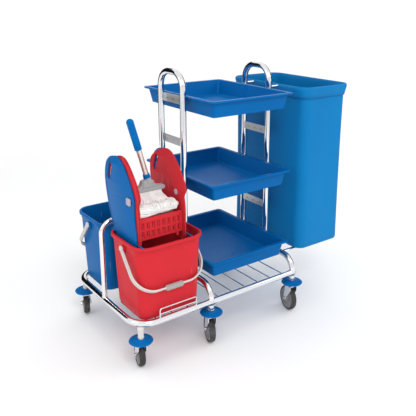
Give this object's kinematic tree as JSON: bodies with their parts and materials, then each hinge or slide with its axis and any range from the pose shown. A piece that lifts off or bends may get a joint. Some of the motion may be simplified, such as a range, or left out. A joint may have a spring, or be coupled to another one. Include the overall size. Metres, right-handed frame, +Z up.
{
  "type": "cleaning trolley",
  "caption": "Wheeled cleaning trolley with lift-out buckets, a pivoting mop press, a string mop, hung trays, wire shelf and laundry bag on a chrome tube frame.",
  "frame": {"origin": "centre of the footprint, on the floor", "axes": "+X from the bucket end to the bag end, -Y is the working side where the red bucket is, +Z up"},
  "size_m": [1.1053, 0.616, 1.065],
  "materials": {
    "chrome": "polished chrome plate on steel tube and wire",
    "plate": "satin steel plate",
    "bag": "coated bright blue cloth",
    "stem": "light grey moulded plastic",
    "bumper": "blue moulded plastic",
    "zinc": "bright zinc-plated steel",
    "hub": "grey moulded plastic",
    "tyre": "dark grey rubber",
    "red": "red moulded plastic",
    "bail": "light grey moulded plastic",
    "grip": "grey moulded plastic",
    "blue": "blue moulded plastic",
    "tube": "pale coated metal tube",
    "clamp": "grey moulded plastic",
    "yarn": "white cotton yarn"
  },
  "bodies": {
    "frame": {"base_tube": "chrome", "end_loop_mid": "chrome", "end_loop_right": "chrome", "shelf_wires": "chrome", "bucket_rods": "chrome", "divider_bar": "chrome", "guard_wires": "chrome", "rack_left": "chrome", "rack_right": "chrome", "rack_plates": "plate", "bag_hoop": "chrome", "bag_base": "chrome", "laundry_bag": "bag", "corner_sockets": "stem", "shelf_posts": "chrome", "bumper_discs": "bumper"},
    "swivel_1": {"fork_1": "chrome", "axle_1": "zinc"},
    "roller_1": {"wheel_1": "hub", "tyre_1": "tyre"},
    "swivel_2": {"fork_2": "chrome", "axle_2": "zinc"},
    "roller_2": {"wheel_2": "hub", "tyre_2": "tyre"},
    "swivel_3": {"fork_3": "chrome", "axle_3": "zinc"},
    "roller_3": {"wheel_3": "hub", "tyre_3": "tyre"},
    "swivel_4": {"fork_4": "chrome", "axle_4": "zinc"},
    "roller_4": {"wheel_4": "hub", "tyre_4": "tyre"},
    "swivel_5": {"fork_5": "chrome", "axle_5": "zinc"},
    "roller_5": {"wheel_5": "hub", "tyre_5": "tyre"},
    "swivel_6": {"fork_6": "chrome", "axle_6": "zinc"},
    "roller_6": {"wheel_6": "hub", "tyre_6": "tyre"},
    "red_bucket": {"red_bucket": "red"},
    "red_bail": {"red_bail": "bail", "red_grip": "grip"},
    "blue_bucket": {"blue_bucket": "blue"},
    "blue_bail": {"blue_bail": "bail", "blue_grip": "grip"},
    "press": {"press_shell": "blue", "press_back": "blue", "press_drain": "blue", "pivot_pins": "zinc"},
    "jaw": {"jaw_cheeks": "red", "jaw_grid": "red"},
    "mop": {"mop_grip": "blue", "mop_tube": "tube", "mop_collar": "blue", "mop_clamp": "clamp", "mop_yarn": "yarn"},
    "tray_top": {"tray_top": "blue"},
    "tray_middle": {"tray_middle": "blue"},
    "tray_bottom": {"tray_bottom": "blue"}
  },
  "joints": [
    {"name": "swivel_1_turn", "type": "hinge", "parent": "frame", "child": "swivel_1", "pos_m": [-0.5077, 0.2396, 0], "axis": [0, 0, 1], "continuous": true},
    {"name": "roller_1_spin", "type": "hinge", "parent": "swivel_1", "child": "roller_1", "pos_m": [-0.50028, 0.26243, 0.045], "axis": [-0.9511, 0.309, 0], "continuous": true},
    {"name": "swivel_2_turn", "type": "hinge", "parent": "frame", "child": "swivel_2", "pos_m": [-0.5077, -0.2396, 0], "axis": [0, 0, 1], "continuous": true},
    {"name": "roller_2_spin", "type": "hinge", "parent": "swivel_2", "child": "roller_2", "pos_m": [-0.50189, -0.21631, 0.045], "axis": [-0.9703, 0.2419, 0], "continuous": true},
    {"name": "swivel_3_turn", "type": "hinge", "parent": "frame", "child": "swivel_3", "pos_m": [-0.2077, -0.263, 0], "axis": [0, 0, 1], "continuous": true},
    {"name": "roller_3_spin", "type": "hinge", "parent": "swivel_3", "child": "roller_3", "pos_m": [-0.19949, -0.24045, 0.054], "axis": [-0.9397, 0.342, 0], "continuous": true},
    {"name": "swivel_4_turn", "type": "hinge", "parent": "frame", "child": "swivel_4", "pos_m": [0.2223, -0.263, 0], "axis": [0, 0, 1], "continuous": true},
    {"name": "roller_4_spin", "type": "hinge", "parent": "swivel_4", "child": "roller_4", "pos_m": [0.22729, -0.23952, 0.054], "axis": [-0.9781, 0.2079, 0], "continuous": true},
    {"name": "swivel_5_turn", "type": "hinge", "parent": "frame", "child": "swivel_5", "pos_m": [-0.2077, 0.263, 0], "axis": [0, 0, 1], "continuous": true},
    {"name": "roller_5_spin", "type": "hinge", "parent": "swivel_5", "child": "roller_5", "pos_m": [-0.21104, 0.23923, 0.054], "axis": [0.9903, -0.1392, 0], "continuous": true},
    {"name": "swivel_6_turn", "type": "hinge", "parent": "frame", "child": "swivel_6", "pos_m": [0.2223, 0.263, 0], "axis": [0, 0, 1], "continuous": true},
    {"name": "roller_6_spin", "type": "hinge", "parent": "swivel_6", "child": "roller_6", "pos_m": [0.21178, 0.24143, 0.054], "axis": [0.8988, -0.4384, 0], "continuous": true},
    {"name": "red_bucket_lift", "type": "slide", "parent": "frame", "child": "red_bucket", "axis": [0, 0, 1], "range_m": [0, 0.32]},
    {"name": "red_bail_swing", "type": "hinge", "parent": "red_bucket", "child": "red_bail", "pos_m": [-0.3757, -0.1435, 0.449], "axis": [-1, 0, 0], "range_deg": [0, 96.5]},
    {"name": "blue_bucket_lift", "type": "slide", "parent": "frame", "child": "blue_bucket", "axis": [0, 0, 1], "range_m": [0, 0.32]},
    {"name": "blue_bail_swing", "type": "hinge", "parent": "blue_bucket", "child": "blue_bail", "pos_m": [-0.3757, 0.1435, 0.449], "axis": [1, 0, 0], "range_deg": [0, 138.5]},
    {"name": "press_lift", "type": "slide", "parent": "red_bucket", "child": "press", "axis": [0, 0, 1], "range_m": [0, 0.3]},
    {"name": "jaw_squeeze", "type": "hinge", "parent": "press", "child": "jaw", "pos_m": [-0.3967, -0.176, 0.632], "axis": [1, 0, 0], "range_deg": [0, 22], "deforming": ["mop_yarn"]},
    {"name": "mop_lift", "type": "slide", "parent": "press", "child": "mop", "axis": [0, 0, 1], "range_m": [0, 0.35], "deforming": ["mop_yarn"]},
    {"name": "tray_top_lift", "type": "slide", "parent": "frame", "child": "tray_top", "axis": [0, 0, 1], "range_m": [0, 0.25]},
    {"name": "tray_middle_pull", "type": "slide", "parent": "frame", "child": "tray_middle", "axis": [0, -1, 0], "range_m": [0, 0.35]},
    {"name": "tray_bottom_pull", "type": "slide", "parent": "frame", "child": "tray_bottom", "axis": [0, -1, 0], "range_m": [0, 0.35]}
  ]
}
